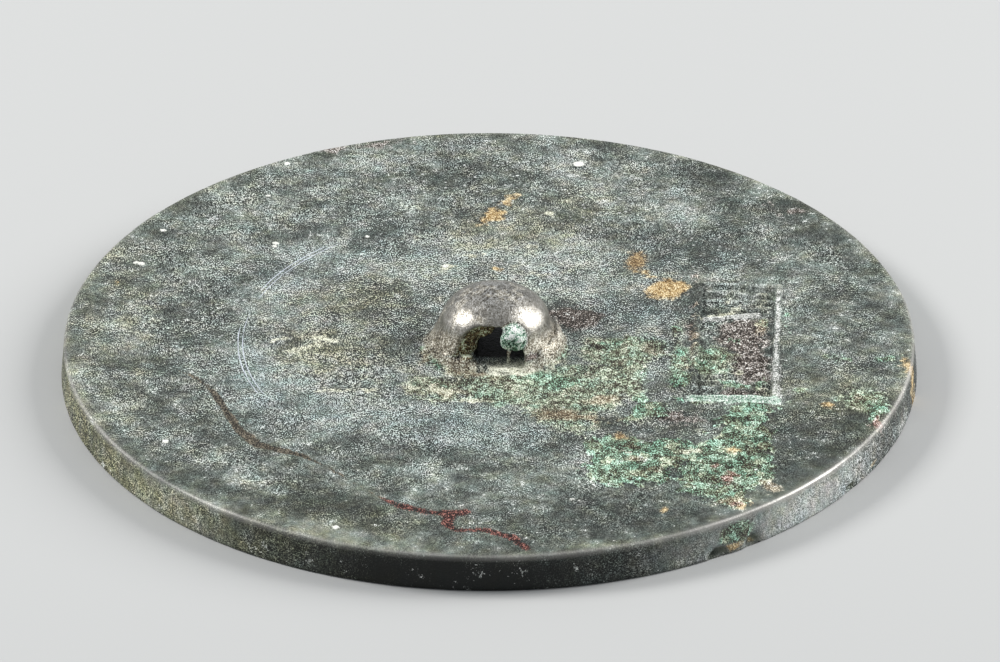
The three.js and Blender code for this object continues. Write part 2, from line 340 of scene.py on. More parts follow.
def fields(points):
    """The patina and the painted light and shade at each point, by name: how far inside a patch it is in
    mm, or a strength.
    """
    x, y, z = points.T
    up = np.clip(z - FACE - 0.45, 0, None)
    wander = 1.5 * rough(points, 3.2, 11) + 0.5 * noise(points, 0.9, 17)
    ragged = 0.5 * rough(points, 1.3, 23)
    away = knob_distance(x, y) - KNOB_FOOT
    skin = knob_skin(points)
    on_knob = smooth(up, 0.05, 0.4)
    front = smooth(-(y - KNOB_Y) - 0.75 * np.abs(x - KNOB_X), 0, 3)
    metal = on_knob * smooth(skin, 0.89, 0.96) * smooth(up + 0.8 * ragged - 1.2 * front, -0.1, 0.8)
    lump = LUMP_REACH - np.linalg.norm((points - LUMP) * [1.0, 1.05, 0.95], axis=1)
    metal *= 1 - smooth(lump, -0.1, 0.3)
    above = up + 0.5 * ragged
    hollow = smooth(above, 0.45, 0.9) * smooth(-away, -0.3, 0.3) * (1 - metal)
    # Near black inside the cord hole, where it lies in shade: painted shade.
    deep = smooth(4.6 - np.abs(y - KNOB_Y) + 0.3 * ragged, 0, 0.8) * smooth(-away, 1, 2)
    deep *= skin < 0.85
    foot = on_knob * smooth(skin, 0.9, 0.96) * smooth(KNOB_Y + 6 - y, 0, 4)
    foot *= 1 - smooth(up + 1.2 * ragged + 0.3 * (y - KNOB_Y), 0.6, 3.0)
    ring = smooth(0.75 - np.abs(away) + 0.5 * ragged, 0, 0.4) * smooth(KNOB_Y + 3 - y, 0, 3)
    skirt = np.where(y < KNOB_Y - 1, 1.5 - np.abs(away - 0.5) - 0.8 * up, -9) + ragged
    out = np.hypot(x, y)
    edge = out - (RADIUS - RIM_FLARE - EDGE_RADIUS)
    wall = smooth(edge, 0.2, 0.6) * smooth(FACE - z, 0.2, 0.5)
    grit = 1.5 - 0.45 * smooth(out, 12, 42) - 0.45 * smooth(-y, 22, 44) - 0.25 * smooth(x, 10, 45)
    grit -= 0.30 * smooth(edge, -6, -0.5) - 0.3 * wall
    under = FACE - 0.6 - z
    around = rim_angle(x, y)
    # The rubbed edge is real wear, painted stronger where highlights fall on the rim's right and, less, on
    # its left: painted highlight.
    painted_highlight_share = 0.35 + 0.5 * np.exp(-(((around - 55) / 38) ** 2)) + 0.2 * np.exp(-(((around + 50) / 30) ** 2))
    pale, mint = panel_colours(x, y, z - FACE > -1)
    ochre = np.maximum(patches(x, y, OCHRE), beside(x, y, OCHRE_TRAIL))
    panel_here = (away > 5) * (edge < 0) * (1 - 0.9 * faint_frame(x, y))
    off_back = 3 * up + 3 * wall
    grown = {
        "green": np.maximum(patches(x, y, GREEN) + wander - off_back, 0.5 * skirt - 0.3),
        "band": np.maximum(patches(x, y, BAND) + 0.8 * wander - off_back, skirt),
        "cream": patches(x, y, CREAM) + ragged - 1.5 * up,
        "mouth_floor_cream_and_painted_light": patches(x, y, MOUTH_FLOOR_CREAM_AND_PAINTED_LIGHT) + ragged - 1.2 * up,
        "ochre": ochre + 1.2 * ragged - 3 * up,
        "dark_ochre": patches(x, y, DARK_OCHRE) + 0.8 * ragged - 3 * up,
        "tan": patches(x, y, TAN) + 0.4 * wander - 1.2 * up,
        "copper": patches(x, y, RED_PATCHES) + 1.4 * ragged,
        "red": np.maximum(beside(x, y, RED_STREAK), beside(x, y, RED_BRANCH)),
        "brown": patches(x, y, BROWN_PATCHES) + 0.7 * wander - 3 * up,
        "streak": beside(x, y, BROWN_STREAK),
        "speck": np.max([r - np.hypot(x - cx, y - cy) for cx, cy, r in SPECKS], axis=0),
        "tone": shades(x, y, LIGHT_AND_DARK) * (1 - wall) + 0.16 * rough(points, 6, 29),
        "tint": shades(x, y, WARM_AND_COOL) * (1 - wall),
        "grit": grit,
        "arcs": np.maximum(beside(x, y, LEFT_ARC), beside(x, y, RIGHT_ARC)),
        # White dots, partly dust and partly painted glints
        "flecks_and_painted_glints": shades(x, y, FLECKS_AND_PAINTED_GLINTS) * (1 - wall),
        "metal": metal,
        "hollow": hollow,
        "deep": deep,
        "foot": foot,
        "skirt": ring * smooth(np.abs(x - KNOB_X), 3, 5),
        "right": smooth(x - KNOB_X, -1, 4),
        "lump": lump,
        "panel": panel_relief(x, y) * panel_here,
        "pale": pale,
        "mint": mint,
        "wall": wall,
        "warm_wall": wall * np.clip(-x / 50, -0.15, 1),
        "right_wall": wall * smooth(x, 0, 30),
        "crown": smooth(up, 5.2, 8.0) * on_knob,
        # Painted light and shade on the rim's wall
        "wall_painted_light_and_shade": along_rim(points, WALL_PAINTED_LIGHT_AND_SHADE) * wall,
        "wall_green": along_rim(points, WALL_GREENS) * wall,
        "wall_ochre": along_rim(points, WALL_OCHRES) * wall,
        "lip": smooth(edge, -1.5, -0.2) * (1 - wall),
        "worn_edge_and_painted_highlight": np.exp(-(((edge - 0.26) / 0.2) ** 2)) * (under < 0.2) * painted_highlight_share,
    }
    return {name: np.clip(values, -4, 4) for name, values in grown.items()}


# ---- relief of the disc's back


def bar(u, v, at_u, at_v, length, width, slant, soft=0.16):
    """1 on a bar with worn edges, 0 off it."""
    a, b = turned(u - at_u, v - at_v, slant)
    outside = np.maximum(np.abs(a) - length / 2, np.abs(b) - width / 2)
    return smooth(-outside, -soft, soft)


def marks(u, v):
    """Rows of short marks in three columns, and one long slanting one. They carry no writing."""
    column = (PANEL_WIDTH - 2 * FRAME_WIDTH) / MARK_COLUMNS
    height = bar(u, v, *LONG_MARK)
    for block, (first, rows, pitch, width) in enumerate(MARK_BLOCKS):
        for row in range(rows):
            for col in range(MARK_COLUMNS):
                wave = math.sin(1.9 * row + 2.6 * col + block)
                length = column * (0.68 + 0.16 * wave)
                slant = 11 * math.sin(2.3 * row - 1.7 * col)
                at_u = (col - (MARK_COLUMNS - 1) / 2) * column + 0.25 * wave
                at_v = first - row * pitch + 0.2 * math.cos(1.3 * row + 2.1 * col)
                height = np.maximum(height, bar(u, v, at_u, at_v, length, width, slant))
    return height


def panel_relief(x, y):
    u, v = panel_place(x, y)
    outside = np.maximum(np.abs(u) - PANEL_WIDTH / 2, np.abs(v) - PANEL_LENGTH / 2)
    near = outside < 1
    relief = np.zeros(x.shape)
    ridge = smooth(-outside[near], -0.15, 0.15)
    sunk = smooth(-outside[near] - FRAME_WIDTH, -0.15, 0.15)
    worn = marks(u[near], v[near])
    floor_height = worn * (PANEL_DEPTH + MARK_RISE) - PANEL_DEPTH
    relief[near] = ridge * FRAME_HEIGHT * (1 - sunk) + sunk * floor_height
    return relief


def faint_frame(x, y):
    """The frame's left side and most of its top, which don't stand out in colour."""
    u, v = panel_place(x, y)
    left = bar(u, v, -PANEL_WIDTH / 2 + FRAME_WIDTH / 2, 0, FRAME_WIDTH + 0.5, PANEL_LENGTH, 0)
    top = bar(u, v, -1.5, PANEL_LENGTH / 2 - FRAME_WIDTH / 2, 7.0, FRAME_WIDTH + 0.5, 0)
    return np.maximum(left, 0.6 * top)


def panel_colours(x, y, on_back):
    """Where whitish and mint corrosion covers the frame and the marks."""
    u, v = panel_place(x, y)
    half_width, half_length = PANEL_WIDTH / 2 - FRAME_WIDTH / 2, PANEL_LENGTH / 2 - FRAME_WIDTH / 2
    right = bar(u, v, half_width, 2.5, 0.6, 22.0, 0, 0.3)
    right = np.maximum(right, 0.8 * bar(u, v, half_width + 0.2, -9.5, 1.5, 9.5, 0, 0.5))
    bottom = bar(u, v, 0, -half_length - 0.3, 12.6, 1.7, 0, 0.5)
    top = bar(u, v, 1.5, half_length, 9.0, 0.8, 0, 0.3)
    slanting = bar(u, v, LONG_MARK[0], LONG_MARK[1], LONG_MARK[2], 1.2, LONG_MARK[4], 0.3)
    pale = 0.8 * right + 0.15 * top + 0.8 * slanting
    return pale * on_back, 0.8 * bottom * on_back


def foot_flare(points):
    """Corrosion banked up against the knob's foot, most of it on the right."""
    x, y, _ = points.T
    away = knob_distance(x, y) - KNOB_FOOT
    height = 1.1 + 1.3 * smooth(x - KNOB_X, -2, 6) + 0.5 * rough(points, 2.4, 71)
    bank = np.clip((0.6 - away) / 1.2, 0, 1) ** 1.4 * smooth(away, -1.7, -0.9)
    beside_mouth = smooth(np.abs(x - KNOB_X), 4.6, 6.4)
    return height * bank * beside_mouth * smooth(KNOB_Y + 5 - y, 0, 3)


def relief(points, found):
    """How far the surface stands out from the plain casting."""
    waves = 0.06 * noise(points, 17, 31) + 0.03 * noise(points, 5, 32) + 0.012 * noise(points, 1.4, 33)
    green = smooth(found["green"], -0.2, 0.7)
    band = smooth(found["band"], -0.3, 0.9)
    lumps = bumps(points, 1.5, 41) + 0.6 * bumps(points, 0.8, 43)
    crust = green * (0.07 + 0.17 * lumps * (0.6 + 0.4 * noise(points, 2.5, 45)))
    stain = band * (0.02 + 0.05 * bumps(points, 1.1, 47))
    ochre = 0.06 * smooth(found["ochre"], 0, 0.6)
    groove = -0.09 * smooth(found["streak"], 0, 0.4) - 0.04 * smooth(found["red"], 0, 0.4)
    speck = 0.16 * smooth(found["speck"], -0.1, 0.5)
    return waves + crust + stain + ochre + groove + speck + foot_flare(points)


# ---- meshes


def mesh_object(name, places, faces):
    data = bpy.data.meshes.new(name)
    data.from_pydata((np.asarray(places) * MM).tolist(), [], faces)
    data.validate()
    made = bpy.data.objects.new(name, data)
    bpy.context.scene.collection.objects.link(made)
    return made


def hex_points(low_x, high_x, low_y, high_y, step):
    rows = np.arange(low_y, high_y, step * math.sqrt(0.75))
    line = np.arange(low_x, high_x, step)
    return np.vstack([np.c_[line + (k % 2) * step / 2, np.full(len(line), y)] for k, y in enumerate(rows)])


def circle(radius, count):
    a = np.arange(count) * 2 * math.pi / count
    return np.c_[radius * np.cos(a), radius * np.sin(a)]


def triangles(flat):
    return delaunay_2d_cdt([Vector(p) for p in flat], [], [], 0, 1e-6)[2]


def back_points(reach):
    """Places over the disc's back: closest on the panel, then on the crusts, then elsewhere."""
    u_half, v_half = PANEL_WIDTH / 2 + 0.5, PANEL_LENGTH / 2 + 0.5

    def on_panel(p, margin):
        u, v = panel_place(p[:, 0], p[:, 1])
        return (np.abs(u) < u_half + margin) & (np.abs(v) < v_half + margin)

    def on_crust(p, margin):
        return patches(p[:, 0], p[:, 1], GREEN + BAND) > -1.2 - margin

    panel = hex_points(24, 42, -20, 16, PANEL_STEP)
    panel = panel[on_panel(panel, 0)]
    crust = hex_points(-15, 57, -48, 9, CRUST_STEP)
    crust = crust[on_crust(crust, 0) & ~on_panel(crust, 0.3)]
    plain = hex_points(-58, 58, -58, 58, COARSE)
    plain = plain[~on_crust(plain, 0.4) & ~on_panel(plain, 0.4)]
    inner = np.vstack([panel, crust, plain])
    inner = inner[np.hypot(*inner.T) < reach - 0.35]
    return np.vstack([circle(reach, RIM_POINTS), inner])


def rim_profile():
    """(radius, height, outward tilt in degrees) from the back's edge down to the underside."""
    upper = RADIUS - RIM_FLARE
    centre_r, centre_z = upper - EDGE_RADIUS, FACE - EDGE_RADIUS
    steps = 4
    rings = []
    for k in range(1, steps + 1):
        a = math.radians(90 - 90 * k / steps)
        round_r, round_z = EDGE_RADIUS * math.cos(a), EDGE_RADIUS * math.sin(a)
        rings.append((centre_r + round_r, centre_z + round_z, math.degrees(a)))
    wall = 9
    for k in range(1, wall + 1):
        t = k / wall
        rings.append((upper + RIM_FLARE * t, centre_z + (LOWER_CHAMFER - centre_z) * t, 0.0))
    rings.append((RADIUS - LOWER_CHAMFER, 0.0, -90.0))
    return rings


def chipped(points):
    """How far the chips bite into the rim at each point."""
    bite = np.zeros(len(points))
    for angle, width, depth, height in CHIPS:
        along, across = turned(points[:, 0], points[:, 1], angle)
        reach = 1 - (across / (width / 2)) ** 2 - (points[:, 2] / height) ** 2
        bite = np.maximum(bite, np.where(along > 0, depth * np.sqrt(np.clip(reach, 0, 1)), 0))
    return bite


def disc():
    reach = RADIUS - RIM_FLARE - EDGE_RADIUS
    flat = back_points(reach)
    back = np.c_[flat, np.full(len(flat), FACE)]
    found = fields(back)
    worn = relief(back, found) * smooth(reach - np.hypot(*flat.T), -0.2, 1.0)
    back[:, 2] += worn + panel_relief(*flat.T)
    faces = [tuple(t) for t in triangles(flat)]
    places = [back]
    start, above = len(back), 0
    circle_at = circle(1, RIM_POINTS)
    for radius, height, tilt in rim_profile():
        ring = np.c_[radius * circle_at, np.full(RIM_POINTS, height)]
        if height > 0:
            uneven = 0.05 * rough(ring, 6, 51) + 0.02 * noise(ring, 1.2, 53) - 0.07
            inward = np.minimum(uneven, 0) - chipped(ring)
            ring[:, :2] += circle_at * inward[:, None] * math.cos(math.radians(tilt))
            ring[:, 2] += np.maximum(uneven, -0.1) * math.sin(math.radians(max(tilt, 0)))
        places.append(ring)
        for k in range(RIM_POINTS):
            n = (k + 1) % RIM_POINTS
            faces.append((above + k, start + k, start + n, above + n))
        above = start
        start += RIM_POINTS
    under = hex_points(-56, 56, -56, 56, 6.0)
    under = under[np.hypot(*under.T) < RADIUS - 4]
    ring = places[-1][:, :2]
    below = np.vstack([ring, under])
    index = np.r_[np.arange(above, above + RIM_POINTS), np.arange(start, start + len(under))]
    places.append(np.c_[under, np.zeros(len(under))])
    faces += [tuple(int(index[i]) for i in reversed(t)) for t in triangles(below)]
    return mesh_object("disc", np.vstack(places), faces)


def lathe(name, profile, segments, shape):
    """A closed solid turned about +Z from (radius, height) points that start and end on the axis."""
    ring_at = circle(1, segments)
    rings = [np.c_[r * ring_at, np.full(segments, z)] for r, z in profile[1:-1]]
    places = np.vstack([[[0, 0, profile[0][1]]], *rings, [[0, 0, profile[-1][1]]]])
    last = len(places) - 1
    faces = []
    for k in range(segments):
        n = (k + 1) % segments
        faces.append((0, 1 + n, 1 + k))
        top = 1 + (len(rings) - 1) * segments
        faces.append((top + k, top + n, last))
        for ring in range(len(rings) - 1):
            a, b = 1 + ring * segments, 1 + (ring + 1) * segments
            faces.append((a + k, a + n, b + n, b + k))
    return mesh_object(name, shape(places), faces)


def knob_profile():
    """(radius, height above the back) up the knob, from under its foot to the top of its dome."""
    slope = (KNOB_FOOT - KNOB_SHOULDER) / KNOB_SHOULDER_Z
    points = [(0, -0.6), (KNOB_FOOT + FOOT_FILLET, -0.6), (KNOB_FOOT + FOOT_FILLET, -0.3)]
    for k in range(6):
        a = math.radians(270 - 14 * k)
        r = KNOB_FOOT + FOOT_FILLET + FOOT_FILLET * math.cos(a)
        points.append((r, FOOT_FILLET + FOOT_FILLET * math.sin(a)))
    side = np.linspace(0.75, KNOB_SHOULDER_Z, 12)
    points += [(KNOB_FOOT - slope * z, z) for z in side[:-1]]
    rise = KNOB_HEIGHT - KNOB_SHOULDER_Z
    steps = 30
    for k in range(steps):
        a = math.pi / 2 * k / steps
        r = KNOB_SHOULDER * math.cos(a) ** (2 / DOME_POWER)
        points.append((r, KNOB_SHOULDER_Z + rise * math.sin(a) ** (2 / DOME_POWER)))
    return points + [(0, KNOB_HEIGHT)]


def knob():
    def cast(places):
        places = places + [KNOB_X, KNOB_Y, FACE]
        uneven = 0.12 * rough(places, 6, 61) - 0.1
        uneven[places[:, 2] < FACE + 0.1] = 0
        centre = np.array([KNOB_X, KNOB_Y, FACE])
        return centre + (places - centre) * (1 + uneven / KNOB_SHOULDER)[:, None]

    return lathe("knob", knob_profile(), 120, cast)


def cord_hole():
    """The arched way through the knob, which widens to its left at both mouths."""
    around, along, deep = 40, 80, 0.7
    a = np.pi * np.arange(around + 1) / around
    power = 2 / HOLE_POWER
    side, lift = np.sign(np.cos(a)) * np.abs(np.cos(a)) ** power, np.sin(a) ** power
    sections = []
    for y in np.linspace(-12, 12, along):
        flare = float(smooth(np.array(abs(y)), MOUTH_SETBACK - 4.4, MOUTH_SETBACK - 1.6))
        half = HOLE_WIDTH / 2 + flare * (MOUTH_WIDTH - HOLE_WIDTH) / 2
        middle = HOLE_X + flare * (MOUTH_X - HOLE_X)
        arch = np.c_[middle + half * side, (HOLE_HEIGHT + flare * (MOUTH_HEIGHT - HOLE_HEIGHT)) * lift]
        outline = np.vstack([arch, [middle - half, -deep], [middle + half, -deep]])
        across, height = outline.T
        sections.append(np.c_[across, np.full(len(outline), y + KNOB_Y), height + FACE])
    count = len(sections[0])
    faces = [tuple(range(count)), tuple(reversed(range((along - 1) * count, along * count)))]
    for s in range(along - 1):
        for k in range(count):
            n = (k + 1) % count
            faces.append((s * count + k, (s + 1) * count + k, (s + 1) * count + n, s * count + n))
    return mesh_object("cord_hole", np.vstack(sections), faces)


def blob(centre, half_sizes, swell, seed):
    """A lump of corrosion."""
    steps = 24
    profile = [(math.sin(math.pi * k / steps), -math.cos(math.pi * k / steps)) for k in range(steps + 1)]

    def grow(places):
        outward = places.copy()
        places = np.array(centre) + places * half_sizes
        uneven = swell * rough(places, 1.1, seed)
        return places + outward * uneven[:, None]

    return lathe("blob", profile, 48, grow)


def stem():
    """The thin thread of corrosion under the lump."""
    steps = 14
    waist = [0.42 - 0.14 * math.sin(math.pi * k / steps) for k in range(steps)]
    profile = [(0, -0.4)] + [(r, -0.4 + 2.9 * k / steps) for k, r in enumerate(waist)] + [(0, 2.6)]

    def bend(places):
        places = places + [STEM_X, STEM_Y, FACE]
        sway = 0.16 * rough(places, 1.0, 91)
        return places + np.c_[sway, sway, 0 * sway]

    return lathe("stem", profile, 20, bend)


def combine(body, tool, operation):
    """Joins or cuts body with tool, and uses tool up."""
    modifier = body.modifiers.new("combine", "BOOLEAN")
    modifier.operation = operation
    modifier.solver = "MANIFOLD"
    modifier.object = tool
    apply_modifiers(body)
    bpy.data.objects.remove(tool)


def apply_modifiers(body):
    made = bpy.data.meshes.new_from_object(body.evaluated_get(bpy.context.evaluated_depsgraph_get()))
    body.modifiers.clear()
    body.data = made


def read(items, name, width, kind=np.float32):
    """One value, or a row of them, from each of Blender's items."""
    found = np.empty(len(items) * width, kind)
    items.foreach_get(name, found)
    return found.reshape(-1, width) if width > 1 else found


def vertices(data):
    return read(data.vertices, "co", 3).astype(float) / MM


def weathered(body):
    """Grows the fine roughness of the knob's crusts along its normals."""
    places = vertices(body.data)
    outward = read(body.data.vertex_normals, "vector", 3).astype(float)
    skin, up = knob_skin(places), places[:, 2] - FACE
    crusty = np.maximum(1 - smooth(skin, 0.88, 0.96), 1 - smooth(up, 0.3, 1.8)) * smooth(up, -0.2, 0.2)
    lump = smooth(LUMP_REACH - np.linalg.norm(places - LUMP, axis=1), -0.3, 0.3)
    grain = (0.10 + 0.08 * lump) * rough(places, 1.2, 95) + 0.07 * noise(places, 0.6, 97)
    places += outward * (crusty * grain + (1 - crusty) * 0.012 * noise(places, 1.6, 99))[:, None]
    body.data.vertices.foreach_set("co", (places * MM).astype(np.float32).ravel())


def pierced_knob():
    body = knob()
    combine(body, cord_hole(), "DIFFERENCE")
    for centre, half_sizes, swell, seed in CRUSTS_IN_MOUTH:
        combine(body, blob(centre, half_sizes, swell, seed), "UNION")
    combine(body, blob(LUMP, LUMP_SIZES, 0.36, 81), "UNION")
    combine(body, stem(), "UNION")
    remesh = body.modifiers.new("even", "REMESH")
    remesh.mode = "VOXEL"
    remesh.voxel_size = KNOB_STEP * MM
    rounding = body.modifiers.new("worn", "SMOOTH")
    rounding.factor = 0.5
    rounding.iterations = 4
    apply_modifiers(body)
    weathered(body)
    return body


def casting():
    body = disc()
    combine(body, pierced_knob(), "UNION")
    body.name = body.data.name = "bronze_mirror"
    return body


def store_fields(piece):
    data = piece.data
    for name, values in fields(vertices(data)).items():
        layer = data.attributes.new(name, "FLOAT", "POINT")
        layer.data.foreach_set("value", values.astype(np.float32))


# ---- layout for baked textures

TOP_SHARE = 0.745  # of the square map is the back; the wall, underside and knob lie beside it
WALL_STRIPS = 3
GAP = 0.006


def loop_places(data):
    """Corner places in millimetres, face normals, each corner's face, each face's first corner."""
    vertex = read(data.loops, "vertex_index", 1, np.int64)
    start = read(data.polygons, "loop_start", 1, np.int64)
    face = np.repeat(np.arange(len(start)), np.diff(np.r_[start, len(vertex)]))
    return vertices(data)[vertex], read(data.polygons, "normal", 3), face, start


def unwrap_faces(piece, chosen):
    """Blender's own unwrapping of the chosen faces, laid out in the unit square."""
    bpy.context.view_layer.objects.active = piece
    piece.select_set(True)
    piece.data.polygons.foreach_set("select", chosen)
    bpy.ops.object.mode_set(mode="EDIT")
    bpy.ops.uv.smart_project(angle_limit=math.radians(70), island_margin=0.004)
    bpy.ops.object.mode_set(mode="OBJECT")


def lay_out(piece):
    data = piece.data
    data.uv_layers.new(name="OFBake")
    corner, facing, face, start = loop_places(data)
    middle = np.add.reduceat(corner, start) / np.diff(np.r_[start, len(corner)])[:, None]
    x, y, z = middle.T
    out = np.hypot(x, y)
    on_knob = (knob_distance(x, y) < KNOB_FOOT + 0.6) & (z > FACE + 0.12) | (z > FACE + 1.5)
    on_wall = ~on_knob & (np.abs(facing[:, 2]) < 0.6) & (out > RADIUS - 2.5)
    under = ~on_knob & ~on_wall & (facing[:, 2] < 0)
    unwrap_faces(piece, on_knob)
    layer = data.uv_layers["OFBake"]
    uv = read(layer.data, "uv", 2).astype(float)
    beside = 1 - TOP_SHARE - 2 * GAP
    uv[on_knob[face]] = uv[on_knob[face]] * beside + [TOP_SHARE + GAP, 1 - beside - GAP]
    flat = corner[:, :2] / (2 * RADIUS) + 0.5
    top = ~(on_knob | on_wall | under)[face]
    uv[top] = flat[top] * (TOP_SHARE - 2 * GAP) + [GAP, 1 - TOP_SHARE + GAP]
    low = under[face]
    uv[low] = flat[low] * (beside - GAP) + [TOP_SHARE + GAP, 1 - TOP_SHARE + GAP]
    side = on_wall[face]
    turn = np.degrees(np.arctan2(y, x))[face] % 360
    at = np.degrees(np.arctan2(corner[:, 1], corner[:, 0])) % 360
    at += 360 * np.round((turn - at) / 360)
    strip = np.floor(turn * WALL_STRIPS / 360)
    tall = (1 - TOP_SHARE) / WALL_STRIPS
    along = at * WALL_STRIPS / 360 - strip
    height = corner[:, 2] / FACE
    place = np.c_[GAP + along * (1 - 2 * GAP), (strip + 0.08 + 0.72 * height) * tall]
    uv[side] = place[side]
    layer.data.foreach_set("uv", np.clip(uv, 0.0005, 0.9995).astype(np.float32).ravel())


# ---- material


class Value:
    """An output socket that adds and multiplies."""

    def __init__(self, tree, socket):
        self.tree = tree
        self.socket = socket

    def __add__(self, other):
        return self.tree.math("ADD", self, other)

    def __mul__(self, other):
        return self.tree.math("MULTIPLY", self, other)

    def __sub__(self, other):
        return self.tree.math("SUBTRACT", self, other)

    def __rsub__(self, other):
        return self.tree.math("SUBTRACT", other, self)

    __radd__ = __add__


class Tree:
    """Short ways to add nodes. A number or colour given to an input is set on it; a Value is linked."""

    def __init__(self, material):
        self.nodes = material.node_tree.nodes
        self.links = material.node_tree.links
        self.place = self.out(self.nodes.new("ShaderNodeTexCoord"), "Object")

    def out(self, node, name=0):
        return Value(self, node.outputs[name])

    def feed(self, sockets, *values):
        for socket, value in zip(sockets, values):
            if isinstance(value, Value):
                self.links.new(value.socket, socket)
            else:
                socket.default_value = value

    def add(self, kind, **inputs):
        node = self.nodes.new(kind)
        for name, value in inputs.items():
            self.feed([node.inputs[name]], value)
        return node

    def math(self, operation, a, b):
        node = self.nodes.new("ShaderNodeMath")
        node.operation = operation
        self.feed(node.inputs, a, b)
        return self.out(node)

    def greatest(self, first, *rest):
        for value in rest:
            first = self.math("MAXIMUM", first, value)
        return first

    def step(self, value, low, high, to_low=0.0, to_high=1.0):
        node = self.nodes.new("ShaderNodeMapRange")
        node.interpolation_type = "SMOOTHSTEP"
        self.feed(node.inputs, value, low, high, to_low, to_high)
        return self.out(node)

    def field(self, name):
        node = self.nodes.new("ShaderNodeAttribute")
        node.attribute_name = name
        return self.out(node, "Fac")

    def placed(self, stretch, shift):
        """Object places, stretched and moved by shift metres so that two noises differ."""
        if stretch is None and not shift:
            return self.place
        node = self.add("ShaderNodeMapping", Vector=self.place, Location=(shift, shift, shift))
        node.inputs["Scale"].default_value = stretch or (1.0, 1.0, 1.0)
        return self.out(node)

    def noise(self, size, detail=2.0, roughness=0.5, stretch=None, shift=0.0):
        """Noise of about -1..1 with lumps about size mm across."""
        node = self.add("ShaderNodeTexNoise", Scale=1 / (size * MM), Detail=detail, Roughness=roughness)
        self.feed([node.inputs["Vector"]], self.placed(stretch, shift))
        return (self.out(node, "Fac") - 0.5) * 3.0

    def warped(self, size, reach):
        """Places pushed about by up to reach mm, to bend what is drawn on them."""
        node = self.add("ShaderNodeTexNoise", Vector=self.place, Scale=1 / (size * MM), Detail=2.0)
        push = self.nodes.new("ShaderNodeVectorMath")
        push.operation = "MULTIPLY_ADD"
        self.feed(push.inputs, self.out(node, "Color"), [reach * MM] * 3, self.place)
        return self.out(push)

    def cells(self, size, place):
        return self.add("ShaderNodeTexVoronoi", Scale=1 / (size * MM), Vector=place)

    def edges(self, size, place):
        """The distance to the nearest line between two cells."""
        node = self.cells(size, place)
        node.feature = "DISTANCE_TO_EDGE"
        return self.out(node, "Distance")

    def rings(self, x, y, size):
        """Noise that changes only with the distance from a place: turning marks."""
        away = self.nodes.new("ShaderNodeVectorMath")
        away.operation = "DISTANCE"
        self.feed(away.inputs, self.placed((1.0, 1.0, 0.0), 0.0), (x * MM, y * MM, 0))
        node = self.add("ShaderNodeTexNoise", Scale=1 / (size * MM), Detail=0.0)
        node.noise_dimensions = "1D"
        self.feed([node.inputs["W"]], self.out(away, "Value"))
        return self.out(node, "Fac")

    def ramp(self, value, stops):
        node = self.nodes.new("ShaderNodeValToRGB")
        self.feed(node.inputs, value)
        marks_on = node.color_ramp.elements
        while len(marks_on) < len(stops):
            marks_on.new(1.0)
        for mark, (position, colour) in zip(marks_on, stops):
            mark.position = position
            mark.color = (*colour, 1)
        return self.out(node, "Color")

    def blend(self, share, under, over):
        node = self.nodes.new("ShaderNodeMix")
        self.feed([node.inputs[0], node.inputs[2], node.inputs[3]], share, under, over)
        return self.out(node)

    def mix(self, share, under, over, blend="MIX"):
        node = self.nodes.new("ShaderNodeMix")
        node.data_type = "RGBA"
        node.blend_type = blend
        if isinstance(over, tuple):
            over = (*over, 1)
        self.feed([node.inputs[0], node.inputs[6], node.inputs[7]], share, under, over)
        return self.out(node, 2)


PATINA = [
    (0, (0.008, 0.009, 0.008)), (0.28, (0.05, 0.056, 0.049)), (0.5, (0.15, 0.166, 0.15)),
    (0.72, (0.33, 0.358, 0.33)), (1, (0.86, 0.89, 0.85)),
]
WARMTH = [(0, (0.76, 0.92, 1)), (0.5, (0.96, 0.97, 0.94)), (1, (1, 0.9, 0.6))]
BLUSH = [(0, (0.84, 1, 0.9)), (0.5, (0.97, 0.98, 0.97)), (1, (1, 0.88, 0.95))]
CRUST_COLOURS = [
    (0, (0.012, 0.009, 0.006)), (0.24, (0.066, 0.048, 0.032)), (0.42, (0.14, 0.145, 0.1)),
    (0.6, (0.26, 0.34, 0.25)), (0.8, (0.52, 0.62, 0.49)), (1, (1, 1, 0.92)),
]
CRUST_TINTS = [
    (0, (0.62, 0.97, 0.88)), (0.38, (0.84, 1, 0.92)), (0.62, (0.98, 0.98, 0.84)), (0.84, (1, 0.9, 0.83)),
    (1, (1, 0.74, 0.63)),
]
BROWNS = [
    (0, (0.005, 0.004, 0.003)), (0.3, (0.022, 0.016, 0.012)), (0.52, (0.11, 0.085, 0.07)),
    (0.72, (0.3, 0.26, 0.23)), (1, (0.85, 0.81, 0.76)),
]
STREAKS = [(0, (0.004, 0.003, 0.002)), (0.5, (0.034, 0.026, 0.016)), (1, (0.24, 0.2, 0.14))]
WHITES = [(0, (0.05, 0.048, 0.04)), (0.5, (0.46, 0.47, 0.43)), (1, (1, 0.99, 0.96))]
TANS = [(0, (0.02, 0.012, 0.006)), (0.5, (0.26, 0.185, 0.105)), (1, (0.98, 0.9, 0.7))]
CREAMS = [(0, (0.04, 0.036, 0.02)), (0.45, (0.5, 0.5, 0.34)), (0.8, (1, 0.99, 0.82))]
OCHRES = [(0, (0.09, 0.044, 0.01)), (0.5, (0.56, 0.37, 0.15)), (1, (1, 0.86, 0.56))]
DARK_OCHRES = [(0, (0.03, 0.015, 0.004)), (0.5, (0.24, 0.145, 0.055)), (1, (0.8, 0.6, 0.33))]
COPPERS = [
    (0, (0.014, 0.005, 0.003)), (0.45, (0.12, 0.048, 0.032)), (0.7, (0.42, 0.23, 0.18)),
    (1, (1, 0.86, 0.8)),
]
REDS = [(0, (0.004, 0.001, 0.001)), (0.5, (0.034, 0.006, 0.004)), (1, (0.45, 0.18, 0.14))]
MINTS = [(0, (0.01, 0.03, 0.018)), (0.5, (0.36, 0.56, 0.42)), (1, (1, 1, 0.96))]
